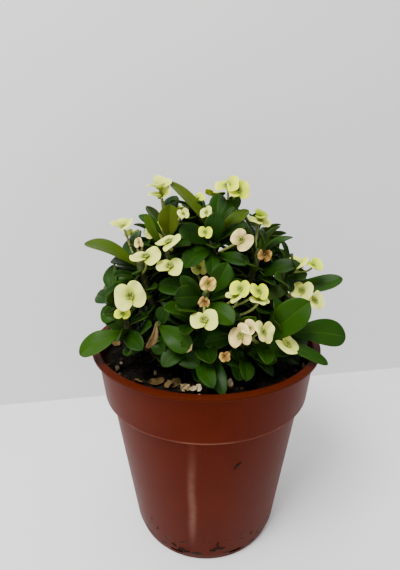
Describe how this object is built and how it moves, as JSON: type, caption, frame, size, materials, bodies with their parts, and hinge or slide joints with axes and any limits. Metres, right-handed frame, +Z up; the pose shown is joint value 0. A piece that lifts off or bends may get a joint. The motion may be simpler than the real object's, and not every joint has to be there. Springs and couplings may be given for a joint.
{
  "type": "potted euphorbia",
  "caption": "Potted thorny euphorbia: a low dome of oval leaves and cream flower heads on woody stems, rooted in soil in a round tapered plastic pot.",
  "frame": {"origin": "centre of the pot's underside, on the surface it stands on", "axes": "+Z up through the pot and plant, the plant's fuller side towards -Y, +X to the right as seen from that side"},
  "size_m": [0.1296, 0.12, 0.1936],
  "materials": {
    "pot_plastic": "satin moulded terracotta-brown plastic",
    "potting_soil": "moist dark potting mix of peat and bark",
    "bark": "dry thorny bark",
    "leaf": "smooth leathery leaf with a soft sheen",
    "bract": "thin cream bract, softly matt"
  },
  "bodies": {
    "root": {"pot": "pot_plastic", "soil": "potting_soil", "stem_back_left": "bark", "stem_back_right": "bark", "stem_centre": "bark", "stem_front": "bark", "stem_left": "bark", "stem_left_low": "bark", "stem_left_top": "bark", "stem_right": "bark", "stem_right_low": "bark", "stem_right_top": "bark", "leaf_back_left_1": "leaf", "leaf_back_left_2": "leaf", "leaf_back_left_3": "leaf", "leaf_back_right_1": "leaf", "leaf_back_right_2": "leaf", "leaf_back_right_3": "leaf", "leaf_centre_1": "leaf", "leaf_centre_2": "leaf", "leaf_centre_3": "leaf", "leaf_centre_4": "leaf", "leaf_centre_5": "leaf", "leaf_centre_6": "leaf", "leaf_front_1": "leaf", "leaf_front_2": "leaf", "leaf_front_3": "leaf", "leaf_front_4": "leaf", "leaf_front_5": "leaf", "leaf_front_6": "leaf", "leaf_left_1": "leaf", "leaf_left_2": "leaf", "leaf_left_3": "leaf", "leaf_left_low_1": "leaf", "leaf_left_low_2": "leaf", "leaf_left_top_1": "leaf", "leaf_left_top_2": "leaf", "leaf_right_1": "leaf", "leaf_right_2": "leaf", "leaf_right_low_1": "leaf", "leaf_right_low_2": "leaf", "leaf_right_low_3": "leaf", "leaf_right_top_1": "leaf", "leaf_right_top_2": "leaf", "leaf_right_top_3": "leaf", "flower_back_left_1": "bract", "flower_centre_1": "bract", "flower_centre_2": "bract", "flower_front_1": "bract", "flower_front_2": "bract", "flower_front_3": "bract", "flower_left_1": "bract", "flower_left_2": "bract", "flower_left_low_1": "bract", "flower_left_top_1": "bract", "flower_left_top_2": "bract", "flower_right_1": "bract", "flower_right_2": "bract", "flower_right_low_1": "bract", "flower_right_top_1": "bract"}
  },
  "joints": []
}
